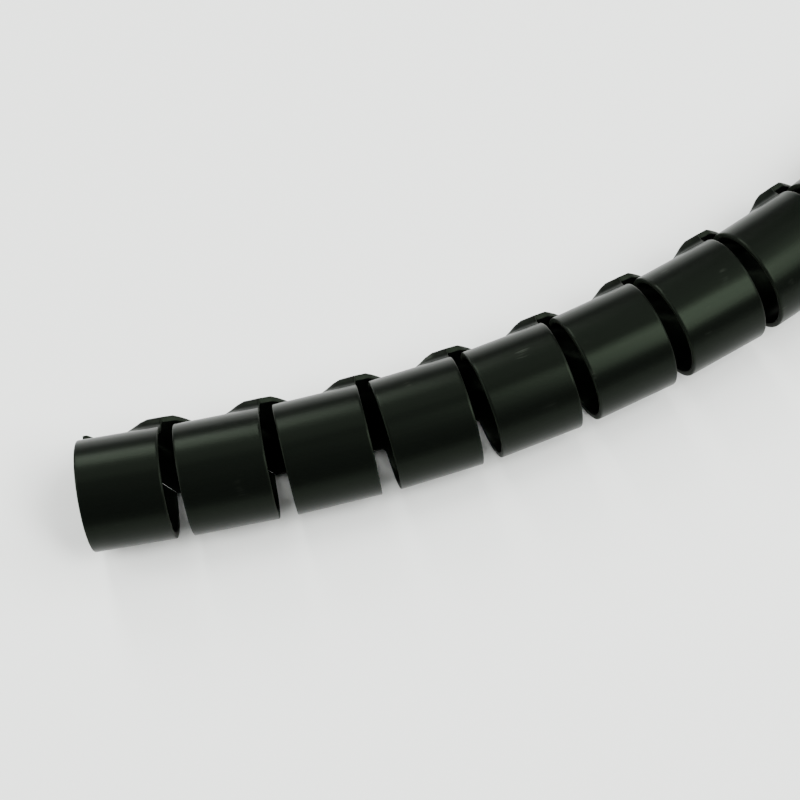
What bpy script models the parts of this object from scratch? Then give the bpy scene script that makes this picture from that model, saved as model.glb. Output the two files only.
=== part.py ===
# Spiral cable wrap: one length of black plastic tube, cut all along into one stepped spiral strip.
# Blender 4.5, metres, +Z up. The tube lies on the level plane z = 0, bent sideways as it came off its roll.
# Section angles are degrees round the tube: 0 faces the outer side of the bend, 90 is up, 180 is the inner side.
# Places along the tube are counted in pitches from the slot that its near end was cut through.
import math

import bmesh
import bpy

# The tube
outside_diameter = 0.025
wall = 0.0013

# The spiral: a wide slot square across the front of each turn, joined by a narrow slanting cut across the back
pitch = 0.0226
turn_count = 44
slot_width = 0.0035
cut_width = 0.0005
slot_upper_end = 173.0
slot_lower_end = 258.0
slot_corner = 0.0010
end_tongue_tip = 0.0012
near_trim = 0.0008

# The edge of each turn that stands proud of the next one along the narrow cut, where the tube is bent
edge_lift = 0.0030
lift_rise = 16.0
lift_fall_from = 225.0
lift_fall_to = 255.0

# The lie of the tube: bent by full_bend degrees for each pitch, less at the near end, then straight to the far end
near_end_bend = 1.2
full_bend = 4.3
settling_turns = 3.0
easing_turns = 5.0
whole_bend = 90.0

# Facets
facet_angle = 15.0
back_steps = 6
axis_steps_per_pitch = 24
sliver_angle = 0.5

# Material
tube_colour = (0.012, 0.014, 0.012, 1.0)
tube_roughness = 0.35

outside_radius = outside_diameter / 2
slot_share = slot_width / pitch
cut_share = cut_width / pitch
bend_start = 0.5
lost_bend = settling_turns * (full_bend - near_end_bend) / 2 + easing_turns * full_bend / 2
bend_end = bend_start + (whole_bend + lost_bend) / full_bend
near_face = slot_share / 2 + near_trim / pitch
far_face = turn_count - slot_share / 2
slant_share = 1.0 - slot_share + cut_share


def plastic_material():
    material = bpy.data.materials.new("black_polypropylene")
    material.use_nodes = True
    shader = material.node_tree.nodes["Principled BSDF"]
    shader.inputs["Base Color"].default_value = tube_colour
    shader.inputs["Roughness"].default_value = tube_roughness
    shader.inputs["Metallic"].default_value = 0.0
    return material


def bend_at(along):
    """Bend in degrees for each pitch, at a place along the tube."""
    if along < bend_start:
        return 0.0
    settled = min((along - bend_start) / settling_turns, 1.0)
    eased = min(max((bend_end - along) / easing_turns, 0.0), 1.0)
    return (near_end_bend + (full_bend - near_end_bend) * settled) * eased


def centre_line():
    """Axis points and headings, with a fixed number of steps to each pitch."""
    step = 1.0 / axis_steps_per_pitch
    x, y, heading = 0.0, 0.0, 0.0
    line = [(x, y, heading)]
    for index in range(turn_count * axis_steps_per_pitch):
        turned = math.radians(bend_at((index + 0.5) * step)) * step
        middle = heading + turned / 2
        x += pitch * step * math.cos(middle)
        y += pitch * step * math.sin(middle)
        heading += turned
        line.append((x, y, heading))
    return line


def axis_frame(line, along):
    """Axis point and heading at a place along the tube, inside the first and last half turns."""
    place = min(max(along, 0.5), turn_count - 0.5) * axis_steps_per_pitch
    index = min(int(place), len(line) - 2)
    share = place - index
    return [near + (far - near) * share for near, far in zip(line[index], line[index + 1])]


def smooth(share):
    share = min(max(share, 0.0), 1.0)
    return share * share * (3.0 - 2.0 * share)


def lift_at(turn, angle):
    """Lift of the proud edge of a turn: it rises up to the upper slot end and falls off along the narrow cut."""
    rise = smooth((angle - 360.0 - slot_upper_end) / lift_rise + 1.0)
    fall = smooth((angle - 360.0 - lift_fall_from) / (lift_fall_to - lift_fall_from))
    bent = min(bend_at(max(turn + 1.0, bend_start)) / near_end_bend, 1.0)
    return edge_lift * rise * (1.0 - fall) * bent


def strip_turn(turn):
    """Stations of one turn: centre and both edges in pitches, section angle, and lift of the proud edge."""
    corner_angle = math.degrees(slot_corner / outside_radius)
    corner_share = slot_corner / pitch
    left = turn + slot_share / 2
    right = turn + 1.0 - slot_share / 2
    first, last = slot_lower_end, slot_upper_end + 360.0
    stations = [(turn + 0.5, left - corner_share, right, first), (turn + 0.5, left, right, first + corner_angle)]
    facet = math.ceil((first + corner_angle + 1.0) / facet_angle) * facet_angle
    while facet < last - corner_angle - 1.0:
        stations.append((turn + 0.5, left, right, facet))
        facet += facet_angle
    stations.append((turn + 0.5, left, right, last - corner_angle))
    stations.append((turn + 0.5, left, right + corner_share, last))
    back_sweep = slot_lower_end - slot_upper_end
    for step in range(back_steps + 1):
        share = step / back_steps
        angle = last + sliver_angle + (back_sweep - 2 * sliver_angle) * share
        proud = turn + 1.0 + slot_share / 2 - cut_share + slant_share * share
        stations.append((turn + 0.5 + share, left + slant_share * share, proud, angle))
    return [station + (lift_at(turn, station[3]),) for station in stations]


def strip_stations():
    """All stations of the strip, trimmed square at both ends of the tube."""
    stations = []
    for turn in range(-1, turn_count):
        for centre, left, right, angle, lift in strip_turn(turn):
            left, right = max(left, near_face), min(right, far_face)
            if (right - left) * pitch >= end_tongue_tip:
                stations.append((centre, left, right, angle, lift))
    return stations


def edge_point(line, centre, along, angle, radius):
    """Point of the tube's surface, on the straight section whose middle is at centre."""
    x, y, heading = axis_frame(line, centre)
    middle = min(max(centre, 0.5), turn_count - 0.5)
    run = (along - middle) * pitch
    inward = -radius * math.cos(math.radians(angle))
    x += run * math.cos(heading) - inward * math.sin(heading)
    y += run * math.sin(heading) + inward * math.cos(heading)
    return x, y, outside_radius + radius * math.sin(math.radians(angle))


def build_strip():
    """The strip's outer surface as one ribbon, centred on the origin, with its wall added inwards."""
    line = centre_line()
    rows = []
    for centre, left, right, angle, lift in strip_stations():
        rows.append((edge_point(line, centre, left, angle, outside_radius),
                     edge_point(line, centre, right, angle, outside_radius + lift)))
    shift = [(min(p[k] for row in rows for p in row) + max(p[k] for row in rows for p in row)) / 2 for k in (0, 1)]
    ribbon = bmesh.new()
    edges = [[ribbon.verts.new((p[0] - shift[0], p[1] - shift[1], p[2])) for p in row] for row in rows]
    for (left, right), (next_left, next_right) in zip(edges, edges[1:]):
        ribbon.faces.new((left, right, next_right, next_left))
    mesh = bpy.data.meshes.new("slit_tube")
    ribbon.to_mesh(mesh)
    ribbon.free()
    tube = bpy.data.objects.new("slit_tube", mesh)
    tube.data.materials.append(plastic_material())
    return tube


def main():
    for scene_object in list(bpy.data.objects):
        bpy.data.objects.remove(scene_object)
    collection = bpy.data.collections.new("spiral_cable_wrap")
    bpy.context.scene.collection.children.link(collection)
    tube = build_strip()
    collection.objects.link(tube)
    shell = tube.modifiers.new("wall", "SOLIDIFY")
    shell.thickness = wall
    shell.offset = -1.0
    tube.data.shade_smooth()
    tube.data.set_sharp_from_angle(angle=math.radians(40.0))


main()
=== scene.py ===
# Spiral cable wrap: a black polypropylene tube cut into one stepped spiral strip, dressed on its frame.
# The strip is drawn flat, then Geometry Nodes wrap it round the tube's bent centre line.
import math

import bpy
from mathutils import Matrix, Quaternion, Vector


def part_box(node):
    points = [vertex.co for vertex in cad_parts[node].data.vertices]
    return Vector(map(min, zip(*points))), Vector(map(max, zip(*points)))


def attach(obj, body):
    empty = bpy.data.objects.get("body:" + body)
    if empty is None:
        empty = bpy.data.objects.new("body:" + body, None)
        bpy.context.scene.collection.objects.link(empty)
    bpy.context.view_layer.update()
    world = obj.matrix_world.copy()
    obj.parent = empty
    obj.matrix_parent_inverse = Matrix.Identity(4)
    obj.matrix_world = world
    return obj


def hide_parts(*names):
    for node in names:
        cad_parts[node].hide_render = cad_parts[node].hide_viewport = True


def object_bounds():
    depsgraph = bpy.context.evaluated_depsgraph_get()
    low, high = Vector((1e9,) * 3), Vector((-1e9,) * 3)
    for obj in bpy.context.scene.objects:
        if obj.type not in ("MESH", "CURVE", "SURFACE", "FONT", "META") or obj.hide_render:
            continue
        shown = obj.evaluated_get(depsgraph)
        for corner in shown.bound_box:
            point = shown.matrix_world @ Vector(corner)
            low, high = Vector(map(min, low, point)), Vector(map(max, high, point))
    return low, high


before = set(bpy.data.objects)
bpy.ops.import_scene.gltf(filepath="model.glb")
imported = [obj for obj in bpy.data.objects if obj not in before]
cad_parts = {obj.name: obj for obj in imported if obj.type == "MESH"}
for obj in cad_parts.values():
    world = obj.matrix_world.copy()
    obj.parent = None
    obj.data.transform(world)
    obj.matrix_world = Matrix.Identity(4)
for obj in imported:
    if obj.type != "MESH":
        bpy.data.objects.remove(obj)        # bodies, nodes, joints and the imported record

mm = 0.001
cadBox = [list(corner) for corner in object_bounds()]


def linear(code):        # an sRGB hex colour as the linear values that sockets take
    parts = [int(code[place:place + 2], 16) / 255 for place in (1, 3, 5)]
    return [part / 12.92 if part <= 0.04045 else ((part + 0.055) / 1.055) ** 2.4 for part in parts] + [1.0]


def addNode(tree, kind, inputs=None, **settings):        # a node with its settings, values and links
    node = tree.nodes.new(kind)
    for name, value in settings.items():
        setattr(node, name, value)
    for name, value in (inputs or {}).items():
        if isinstance(value, bpy.types.NodeSocket):
            tree.links.new(value, node.inputs[name])
        else:
            node.inputs[name].default_value = value
    return node


def number(tree, operation, *terms):
    return addNode(tree, "ShaderNodeMath", dict(enumerate(terms)), operation=operation).outputs[0]


def vector(tree, operation, inputs):
    return addNode(tree, "ShaderNodeVectorMath", inputs, operation=operation).outputs[0]


def ramp(tree, value, start, end, low, high):        # a smooth step from low at start to high at end
    ranges = {"Value": value, "From Min": start, "From Max": end, "To Min": low, "To Max": high}
    return addNode(tree, "ShaderNodeMapRange", ranges, interpolation_type="SMOOTHSTEP").outputs[0]


def mix(tree, kind, factor, low, high):        # kind: RGBA for colours, FLOAT for numbers
    names = {"RGBA": ("A_Color", "B_Color"), "FLOAT": ("A_Float", "B_Float")}[kind]
    node = addNode(tree, "ShaderNodeMix", data_type=kind)
    sockets = {item.identifier: item for item in node.inputs}
    for name, value in (("Factor_Float", factor), (names[0], low), (names[1], high)):
        if isinstance(value, bpy.types.NodeSocket):
            tree.links.new(value, sockets[name])
        else:
            sockets[name].default_value = value
    return next(item for item in node.outputs if item.enabled)


# The wrap. Lengths are mm and angles are degrees; places along the tube are counted in pitches.
# Section angles: 0 faces the outer side of the bend, 90 is up, 180 is the inner side.
wrap = {
    "outsideDiameter": 25.0,
    "wall": 1.3,
    "pitch": 22.6,
    "turns": 44,
    "slotWidth": 3.5,
    "slotUpperEnd": 173.0,
    "slotLowerEnd": 258.0,
    "slotCorner": 0.9,
    "cutWidth": 0.5,         # the narrow slanting cut across the back
    "nearTrim": 0.8,         # cut off beyond the slot that the near end was cut through
    "tongueTip": 0.3,        # the pointed strip ends are cut off where they are this narrow
    "nearEndBend": 1.2,      # degrees for each pitch
    "fullBend": 4.3,         # degrees for each pitch
    "settlingTurns": 3.0,    # from the near end's bend to the full bend
    "easingTurns": 5.0,      # from the full bend to the straight run
    "wholeBend": 90.0,
    "edgeLift": 3.0,         # how far the proud edge springs out where the bend closes the narrow cut
    "flareFlat": 3.0,        # measured from the edge: how wide the sprung part is
    "flareWidth": 10.2,      # measured from the edge: where it is back on the tube
    "liftRise": 8.0,         # the lift begins this far before the slot's upper end
    "liftFallFrom": 225.0,
    "liftFallTo": 255.0,
    "edgeRound": 0.22,
    "sharpAngle": 50.0,      # edges that turn more than this are shaded sharp
    "facetAngle": 6.0,
    "cornerSteps": 4,        # facets in a slot's corner
    "backSteps": 16,         # facets in a slanting run across the back
    "backMargin": 0.5,       # degrees from a slot's end to the first of them
    "lineSteps": 24,         # centre line steps in each pitch
    "outerLoops": (0, .02, .3, .5, .58, .66, .74, .82, .98, 1),        # shares of the strip's width
    "innerLoops": (0, .02, .5, .58, .7, .82, .98, 1),
}
outsideRadius = wrap["outsideDiameter"] / 2
slotShare = wrap["slotWidth"] / wrap["pitch"]
cutShare = wrap["cutWidth"] / wrap["pitch"]
slantShare = 1.0 - slotShare + cutShare        # how far along a slanting run leads, in pitches
halfTurn = 0.5                                 # the first and the last half turn are straight
lostBend = (wrap["settlingTurns"] * (wrap["fullBend"] - wrap["nearEndBend"]) / 2
            + wrap["easingTurns"] * wrap["fullBend"] / 2)        # taken off by the gradual start and end
bendEnd = halfTurn + (wrap["wholeBend"] + lostBend) / wrap["fullBend"]
nearFace = slotShare / 2 + wrap["nearTrim"] / wrap["pitch"]
farFace = wrap["turns"] - slotShare / 2


def bendAt(along):        # degrees for each pitch
    if along < halfTurn:
        return 0.0
    settled = min((along - halfTurn) / wrap["settlingTurns"], 1.0)
    eased = min(max((bendEnd - along) / wrap["easingTurns"], 0.0), 1.0)
    return (wrap["nearEndBend"] + (wrap["fullBend"] - wrap["nearEndBend"]) * settled) * eased


def centreLine():        # a poly curve on the floor plane; the tree below lifts it to the tube's axis
    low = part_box("slit_tube")[0]
    chord = wrap["pitch"] / wrap["lineSteps"] * mm
    x = low.x - nearFace * wrap["pitch"] * mm
    y = low.y + outsideRadius * mm
    heading = 0.0
    points = [(x, y)]
    for index in range(wrap["turns"] * wrap["lineSteps"]):
        turned = math.radians(bendAt((index + 0.5) / wrap["lineSteps"])) / wrap["lineSteps"]
        x += chord * math.cos(heading + turned / 2)
        y += chord * math.sin(heading + turned / 2)
        heading += turned
        points.append((x, y))
    curve = bpy.data.curves.new("centreLine", "CURVE")
    curve.dimensions = "3D"
    spline = curve.splines.new("POLY")
    spline.points.add(len(points) - 1)
    for point, place in zip(spline.points, points):
        point.co = (*place, 0.0, 1.0)
    line = bpy.data.objects.new("centreLine", curve)
    bpy.context.scene.collection.objects.link(line)
    return line


def turnStations(turn):        # centre, left edge, right edge, section angle
    corner = wrap["slotCorner"] / wrap["pitch"]
    cornerAngle = math.degrees(wrap["slotCorner"] / outsideRadius)
    middle = turn + 0.5
    left = turn + slotShare / 2
    right = turn + 1.0 - slotShare / 2
    first = wrap["slotLowerEnd"]
    last = wrap["slotUpperEnd"] + 360.0
    swings = [math.radians(90.0 * step / wrap["cornerSteps"]) for step in range(wrap["cornerSteps"] + 1)]
    stations = []
    for swing in swings:        # rounded corner at the slot's lower end
        edge = left - corner + corner * math.sin(swing)
        stations.append((middle, edge, right, first + cornerAngle * (1.0 - math.cos(swing))))
    facets = math.ceil((last - first - 2 * cornerAngle) / wrap["facetAngle"])
    for step in range(1, facets):
        angle = first + cornerAngle + (last - first - 2 * cornerAngle) * step / facets
        stations.append((middle, left, right, angle))
    for swing in swings:        # and at its upper end
        edge = right + corner - corner * math.cos(swing)
        stations.append((middle, left, edge, last - cornerAngle * (1.0 - math.sin(swing))))
    margin = wrap["backMargin"]
    sweep = wrap["slotLowerEnd"] - wrap["slotUpperEnd"] - 2 * margin
    for step in range(wrap["backSteps"] + 1):        # the slanting run across the back
        share = step / wrap["backSteps"]
        proud = turn + 1.0 + slotShare / 2 - cutShare + slantShare * share
        stations.append((middle + share, left + slantShare * share, proud, last + margin + sweep * share))
    return stations


def ringProfile(left, right):        # a cut through the strip, in mm: place along, depth, and 1 on a cut face
    shoulder = wrap["edgeRound"]
    slant = shoulder * (1.0 - math.sqrt(0.5))
    wall = wrap["wall"]
    span = right - left - 2 * shoulder
    ring = [(left + shoulder + span * share, 0.0, 0.0) for share in wrap["outerLoops"]]
    ring += [(right - slant, slant, 0.5), (right, shoulder, 1.0)]
    ring += [(right, wall - shoulder, 1.0), (right - slant, wall - slant, 0.5)]
    ring += [(left + shoulder + span * share, wall, 0.0) for share in reversed(wrap["innerLoops"])]
    ring += [(left + slant, wall - slant, 0.5), (left, wall - shoulder, 1.0)]
    ring += [(left, shoulder, 1.0), (left + slant, slant, 0.5)]
    return ring


def flatStrip():        # the whole strip laid out flat: x along the tube, y round it, z into the wall
    names = ("along", "centre", "angle", "depth", "fromEdge", "bent", "cutFace")
    values = {name: [] for name in names}
    points = []
    rings = 0
    size = len(ringProfile(0.0, wrap["pitch"]))
    for turn in range(-1, wrap["turns"]):
        bent = min(bendAt(max(turn + 1.0, halfTurn)) / wrap["nearEndBend"], 1.0)
        for centre, left, right, angle in turnStations(turn):
            clippedLeft = max(left, nearFace) * wrap["pitch"]
            clippedRight = min(right, farFace) * wrap["pitch"]
            if clippedRight - clippedLeft < wrap["tongueTip"]:
                continue
            rings += 1
            arc = math.radians(angle + 360.0 * turn) * outsideRadius
            middle = min(max(centre, halfTurn), wrap["turns"] - halfTurn)
            for along, depth, cutFace in ringProfile(clippedLeft, clippedRight):
                points.append((along * mm, arc * mm, -depth * mm))
                values["along"].append(along * mm)
                values["centre"].append(middle * wrap["pitch"] * mm)
                values["angle"].append(math.radians(angle))
                values["depth"].append(depth * mm)
                values["fromEdge"].append((right * wrap["pitch"] - along) * mm)
                values["bent"].append(bent)
                values["cutFace"].append(cutFace)
    faces = []
    for ring in range(rings - 1):
        for place in range(size):
            after = (place + 1) % size
            faces.append((ring * size + place, ring * size + after,
                          (ring + 1) * size + after, (ring + 1) * size + place))
    faces.append(tuple(reversed(range(size))))
    faces.append(tuple((rings - 1) * size + place for place in range(size)))
    mesh = bpy.data.meshes.new("spiralStrip")
    mesh.from_pydata(points, [], faces)
    for name, numbers in values.items():
        mesh.attributes.new(name, "FLOAT", "POINT").data.foreach_set("value", numbers)
    flat = mesh.uv_layers.new(name="flatPattern")
    for loop in mesh.loops:
        flat.data[loop.index].uv = points[loop.vertex_index][:2]
    strip = bpy.data.objects.new("spiralStrip", mesh)
    bpy.context.scene.collection.objects.link(strip)
    return strip


def wrapTree():        # wraps the flat strip round the centre line and springs its proud edge out
    tree = bpy.data.node_groups.new("wrapRoundTube", "GeometryNodeTree")
    face = tree.interface
    face.new_socket("Geometry", in_out="INPUT", socket_type="NodeSocketGeometry")
    face.new_socket("Centre Line", in_out="INPUT", socket_type="NodeSocketObject")
    for name in ("Outside Radius", "Edge Lift", "Flare Flat", "Flare Width",
                 "Rise Start", "Rise End", "Fall Start", "Fall End"):
        face.new_socket(name, in_out="INPUT", socket_type="NodeSocketFloat")
    face.new_socket("Material", in_out="INPUT", socket_type="NodeSocketMaterial")
    face.new_socket("Geometry", in_out="OUTPUT", socket_type="NodeSocketGeometry")
    given = addNode(tree, "NodeGroupInput").outputs
    stored = {name: addNode(tree, "GeometryNodeInputNamedAttribute", {"Name": name}).outputs["Attribute"]
              for name in ("along", "centre", "angle", "depth", "fromEdge", "bent")}
    line = addNode(tree, "GeometryNodeObjectInfo", {"Object": given["Centre Line"]})
    sample = addNode(tree, "GeometryNodeSampleCurve",
                     {"Curves": line.outputs["Geometry"], "Length": stored["centre"]}, mode="LENGTH")
    heading = sample.outputs["Tangent"]
    inward = vector(tree, "CROSS_PRODUCT", {0: (0, 0, 1), 1: heading})

    flare = stored["bent"]
    for value, start, end, low, high in ((stored["fromEdge"], "Flare Flat", "Flare Width", 1.0, 0.0),
                                         (stored["angle"], "Rise Start", "Rise End", 0.0, 1.0),
                                         (stored["angle"], "Fall Start", "Fall End", 1.0, 0.0)):
        flare = number(tree, "MULTIPLY", flare, ramp(tree, value, given[start], given[end], low, high))
    outer = number(tree, "MULTIPLY_ADD", flare, given["Edge Lift"], given["Outside Radius"])
    radius = number(tree, "SUBTRACT", outer, stored["depth"])
    aside = number(tree, "MULTIPLY", radius, number(tree, "COSINE", stored["angle"]))
    sine = number(tree, "SINE", stored["angle"])
    height = number(tree, "MULTIPLY_ADD", radius, sine, given["Outside Radius"])
    run = number(tree, "SUBTRACT", stored["along"], stored["centre"])

    alongPart = vector(tree, "SCALE", {0: heading, "Scale": run})
    outPart = vector(tree, "SCALE", {0: inward, "Scale": aside})
    upPart = addNode(tree, "ShaderNodeCombineXYZ", {"Z": height}).outputs[0]
    place = vector(tree, "ADD", {0: sample.outputs["Position"], 1: alongPart})
    place = vector(tree, "SUBTRACT", {0: place, 1: outPart})
    place = vector(tree, "ADD", {0: place, 1: upPart})
    moved = addNode(tree, "GeometryNodeSetPosition", {"Geometry": given["Geometry"], "Position": place})
    real = addNode(tree, "GeometryNodeRealizeInstances", {"Geometry": moved.outputs[0]})
    dressed = addNode(tree, "GeometryNodeSetMaterial",
                      {"Geometry": real.outputs[0], "Material": given["Material"]})
    addNode(tree, "NodeGroupOutput", {"Geometry": dressed.outputs[0]})
    return tree


def runTree(piece, tree, values):        # sets the named inputs, then makes the result a plain mesh
    modifier = piece.modifiers.new(tree.name, "NODES")
    modifier.node_group = tree
    sockets = {item.name: item.identifier for item in tree.interface.items_tree if item.in_out == "INPUT"}
    for name, value in values.items():
        modifier[sockets[name]] = value
    done = bpy.data.meshes.new_from_object(piece.evaluated_get(bpy.context.evaluated_depsgraph_get()))
    piece.modifiers.remove(modifier)
    piece.data = done


# Black polypropylene as it leaves the die: a smooth satin skin that mirrors the room softly, with faint lines
# drawn along the tube, low waves that make the highlights waver, and dull scuffs from handling.
plastic = {
    "colour": "#070907",
    "paintedCutEdgeHighlight": "#151914",          # the knife leaves a duller face; its lighter colour is a painted highlight along the slit edges
    "scuffColour": "#454A42",
    "roughness": 0.27,
    "cutRoughness": 0.5,
    "scuffRoughness": 0.55,
    "refraction": 1.49,
    "specularLevel": 0.06,           # low, because the bright room would turn the black to grey
    "specularTint": "#E0FFD8",       # the highlights are faintly green
    "dieLineSpacing": 1.1,           # mm round the tube; real lines are finer, and this shows at render size
    "dieLineLength": 70.0,           # mm
    "dieLineDepth": 0.008,           # mm
    "dieLineGloss": 0.06,            # added to the roughness
    "waveWidth": 14.0,               # mm round the tube
    "waveLength": 22.4,              # mm
    "waveDepth": 0.05,               # mm
    "scuffSize": 7.0,                # mm
    "scuffLine": 0.55,               # mm
    "scuffPatches": (0.67, 0.8),     # noise values between which a scuffed patch fades in
    "scuffScratches": (0.45, 0.7),   # and between which a scratch in it does
    "scuffStrength": 0.6,
    "scuffPaleness": 0.5,            # share of the scuff colour in the strongest scuff
    "waveShift": 3.7,                # places in the noise, so that the patterns differ
    "patchShift": 9.2,
    "scratchShift": 5.1,
}


def satinPolypropylene():
    material = bpy.data.materials.new("satinPolypropylene")
    material.use_nodes = True
    tree = material.node_tree
    shader = tree.nodes["Principled BSDF"]
    shader.inputs["IOR"].default_value = plastic["refraction"]
    shader.inputs["Specular IOR Level"].default_value = plastic["specularLevel"]
    shader.inputs["Specular Tint"].default_value = linear(plastic["specularTint"])
    flat = addNode(tree, "ShaderNodeUVMap", uv_map="flatPattern").outputs[0]

    def pattern(length, width, detail, shift=0.0):        # noise with features of that size in mm
        scale = (1.0 / (length * mm), 1.0 / (width * mm), 1.0)
        place = {"Vector": flat, "Location": (shift,) * 3, "Scale": scale}
        mapped = addNode(tree, "ShaderNodeMapping", place)
        settings = {"Vector": mapped.outputs[0], "Scale": 1.0, "Detail": detail}
        return addNode(tree, "ShaderNodeTexNoise", settings).outputs[0]

    dieLines = pattern(plastic["dieLineLength"], plastic["dieLineSpacing"], 2.0)
    waves = pattern(plastic["waveLength"], plastic["waveWidth"], 1.0, plastic["waveShift"])
    patches = pattern(plastic["scuffSize"], plastic["scuffSize"], 1.0, plastic["patchShift"])
    scratches = pattern(plastic["scuffSize"], plastic["scuffLine"], 3.0, plastic["scratchShift"])
    patches = ramp(tree, patches, *plastic["scuffPatches"], 0.0, 1.0)
    scratches = ramp(tree, scratches, *plastic["scuffScratches"], 0.0, 1.0)
    scuffs = number(tree, "MULTIPLY", patches, scratches)
    scuffs = number(tree, "MULTIPLY", scuffs, plastic["scuffStrength"])
    pale = number(tree, "MULTIPLY", scuffs, plastic["scuffPaleness"])
    cutFace = addNode(tree, "ShaderNodeAttribute", attribute_name="cutFace").outputs["Fac"]

    colour = mix(tree, "RGBA", pale, linear(plastic["colour"]), linear(plastic["scuffColour"]))
    # cut faces and edge roundings get a lighter colour, a painted highlight along the slit edges; their
    # higher roughness below is real
    colour = mix(tree, "RGBA", cutFace, colour, linear(plastic["paintedCutEdgeHighlight"]))
    gloss = number(tree, "MULTIPLY_ADD", dieLines, plastic["dieLineGloss"], plastic["roughness"])
    gloss = mix(tree, "FLOAT", scuffs, gloss, plastic["scuffRoughness"])
    gloss = mix(tree, "FLOAT", cutFace, gloss, plastic["cutRoughness"])
    relief = number(tree, "MULTIPLY", dieLines, plastic["dieLineDepth"] * mm)
    relief = number(tree, "ADD", relief, number(tree, "MULTIPLY", waves, plastic["waveDepth"] * mm))
    bump = addNode(tree, "ShaderNodeBump", {"Strength": 1.0, "Distance": 1.0, "Height": relief}).outputs[0]
    tree.links.new(colour, shader.inputs["Base Color"])
    tree.links.new(gloss, shader.inputs["Roughness"])
    tree.links.new(bump, shader.inputs["Normal"])
    return material


strip = flatStrip()
line = centreLine()
runTree(strip, wrapTree(), {
    "Centre Line": line,
    "Outside Radius": outsideRadius * mm,
    "Edge Lift": wrap["edgeLift"] * mm,
    "Flare Flat": wrap["flareFlat"] * mm,
    "Flare Width": wrap["flareWidth"] * mm,
    "Rise Start": math.radians(wrap["slotUpperEnd"] + 360.0 - wrap["liftRise"]),
    "Rise End": math.radians(wrap["slotUpperEnd"] + 360.0),
    "Fall Start": math.radians(wrap["liftFallFrom"] + 360.0),
    "Fall End": math.radians(wrap["liftFallTo"] + 360.0),
    "Material": satinPolypropylene(),
})
bpy.data.objects.remove(line)
strip.data.shade_smooth()
strip.data.set_sharp_from_angle(angle=math.radians(wrap["sharpAngle"]))
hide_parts("slit_tube")
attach(strip, "root")
print("strip:", len(strip.data.polygons), "faces")


# The studio: a pale paper floor under a sky that is dim except near the horizon.
studio = {
    "floorColour": "#F2F5F1",
    "floorRoughness": 0.9,
    "floorSpecular": 0.1,
    "floorSize": 3000.0,             # mm
    "target": (62.9, 10.6),          # mm from the middle of the first turn
    "horizonStrength": 1.15,
    "skyStrength": 0.004,
    "horizonHeight": 0.08,           # sine of the angle above the horizon at which the sky is fully dim
}
# Five soft lights aimed at the tube. Three are mirrored in it as its highlights: low behind it, high at the
# right and broad above it. Two at the left and right light the floor.
# turn: degrees anticlockwise from +X, rise: degrees above the floor, lean: degrees that the light is turned
# about its own aim, distance and size: mm, power: watts
lights = {
    "backLight": {"turn": 103.0, "rise": 37.0, "lean": 0.0,
                  "distance": 2000.0, "size": (500.0, 820.0), "power": 26.0},
    "highLight": {"turn": -34.0, "rise": 53.0, "lean": -23.0,
                  "distance": 2000.0, "size": (520.0, 1400.0), "power": 52.0},
    "skyLight": {"turn": 97.0, "rise": 66.0, "lean": 0.0,
                 "distance": 2000.0, "size": (2400.0, 1300.0), "power": 21.0},
    "leftLight": {"turn": 180.0, "rise": 42.0, "lean": 0.0,
                  "distance": 1200.0, "size": (900.0, 900.0), "power": 17.0},
    "rightLight": {"turn": 4.0, "rise": 42.0, "lean": 0.0,
                   "distance": 1200.0, "size": (900.0, 900.0), "power": 17.0},
}
firstMiddle = Vector((cadBox[0][0] + (halfTurn - nearFace) * wrap["pitch"] * mm,
                      cadBox[0][1] + outsideRadius * mm, outsideRadius * mm))
target = firstMiddle + Vector((*studio["target"], 0.0)) * mm


def paperFloor():
    half = studio["floorSize"] / 2 * mm
    mesh = bpy.data.meshes.new("floor")
    corners = [(-half, -half, 0), (half, -half, 0), (half, half, 0), (-half, half, 0)]
    mesh.from_pydata(corners, [], [(0, 1, 2, 3)])
    floor = bpy.data.objects.new("floor", mesh)
    bpy.context.scene.collection.objects.link(floor)
    material = bpy.data.materials.new("mattePaper")
    material.use_nodes = True
    shader = material.node_tree.nodes["Principled BSDF"]
    shader.inputs["Base Color"].default_value = linear(studio["floorColour"])
    shader.inputs["Roughness"].default_value = studio["floorRoughness"]
    shader.inputs["Specular IOR Level"].default_value = studio["floorSpecular"]
    mesh.materials.append(material)


def pointing(turn, rise):        # the unit vector at that turn and rise, both in degrees
    turn, rise = math.radians(turn), math.radians(rise)
    return Vector((math.cos(rise) * math.cos(turn), math.cos(rise) * math.sin(turn), math.sin(rise)))


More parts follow.
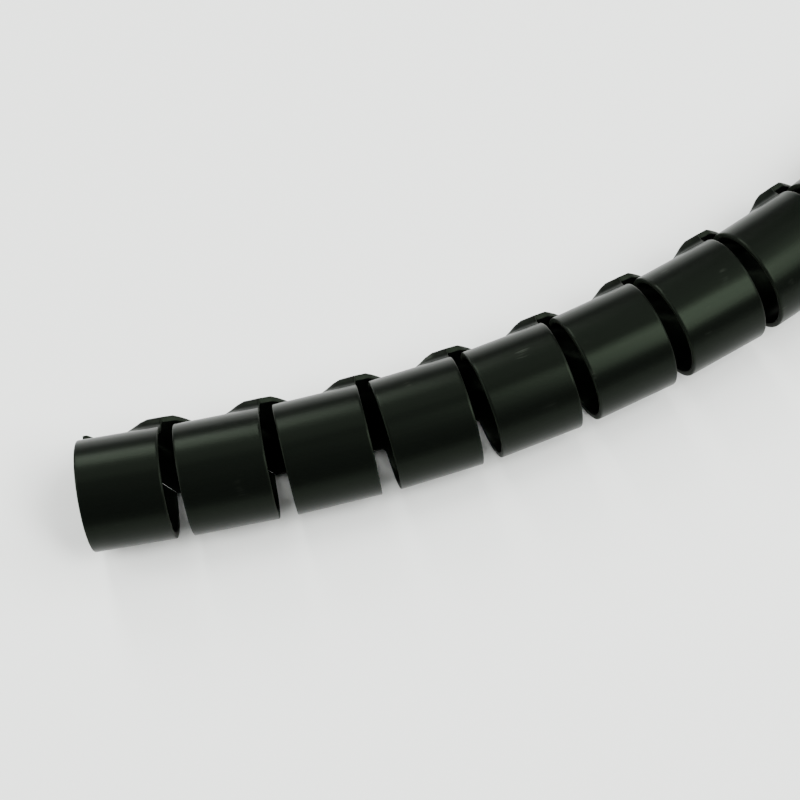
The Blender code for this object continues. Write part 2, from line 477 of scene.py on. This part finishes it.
def softbox(name, turn, rise, lean, distance, size, power):
    light = bpy.data.lights.new(name, "AREA")
    light.shape = "RECTANGLE"
    light.size, light.size_y = (side * mm for side in size)
    light.energy = power
    box = bpy.data.objects.new(name, light)
    bpy.context.scene.collection.objects.link(box)
    away = pointing(turn, rise)
    box.location = target + away * distance * mm
    leaned = Quaternion(away, math.radians(lean)) @ (-away).to_track_quat("-Z", "Y")
    box.rotation_euler = leaned.to_euler()


def studioWorld():        # dim above, pale near the horizon so that low views keep a light background
    world = bpy.data.worlds.new("studioWorld")
    bpy.context.scene.world = world
    world.use_nodes = True
    tree = world.node_tree
    background = tree.nodes["Background"]
    direction = addNode(tree, "ShaderNodeTexCoord").outputs["Generated"]
    height = addNode(tree, "ShaderNodeSeparateXYZ", {0: direction}).outputs["Z"]
    level = ramp(tree, height, 0.0, studio["horizonHeight"], studio["horizonStrength"], studio["skyStrength"])
    background.inputs["Color"].default_value = (1.0, 1.0, 1.0, 1.0)
    tree.links.new(level, background.inputs["Strength"])


# The camera, in the photograph's place: mm, degrees, and pixels of a picture of that width.
view = {
    "distance": 402.0,
    "elevation": 63.3,
    "azimuth": 1.5,          # clockwise from the view along +Y
    "roll": -8.2,
    "focalPixels": 1800.0,
    "pictureWidth": 800.0,
}


def photoCamera():
    camera = bpy.data.objects.new("camera", bpy.data.cameras.new("camera"))
    bpy.context.scene.collection.objects.link(camera)
    camera.data.sensor_fit = "HORIZONTAL"
    camera.data.lens = camera.data.sensor_width * view["focalPixels"] / view["pictureWidth"]
    ahead = pointing(90.0 - view["azimuth"], -view["elevation"])
    roll = math.radians(view["roll"])
    level = ahead.cross(Vector((0, 0, 1))).normalized()
    upright = level.cross(ahead)
    right = level * math.cos(roll) + upright * math.sin(roll)
    up = upright * math.cos(roll) - level * math.sin(roll)
    pose = Matrix((right, up, -ahead)).transposed().to_4x4()
    pose.translation = target - ahead * view["distance"] * mm
    camera.matrix_world = pose
    bpy.context.scene.camera = camera


paperFloor()
for name, light in lights.items():
    softbox(name, **light)
studioWorld()
photoCamera()
print("studio and camera ready")
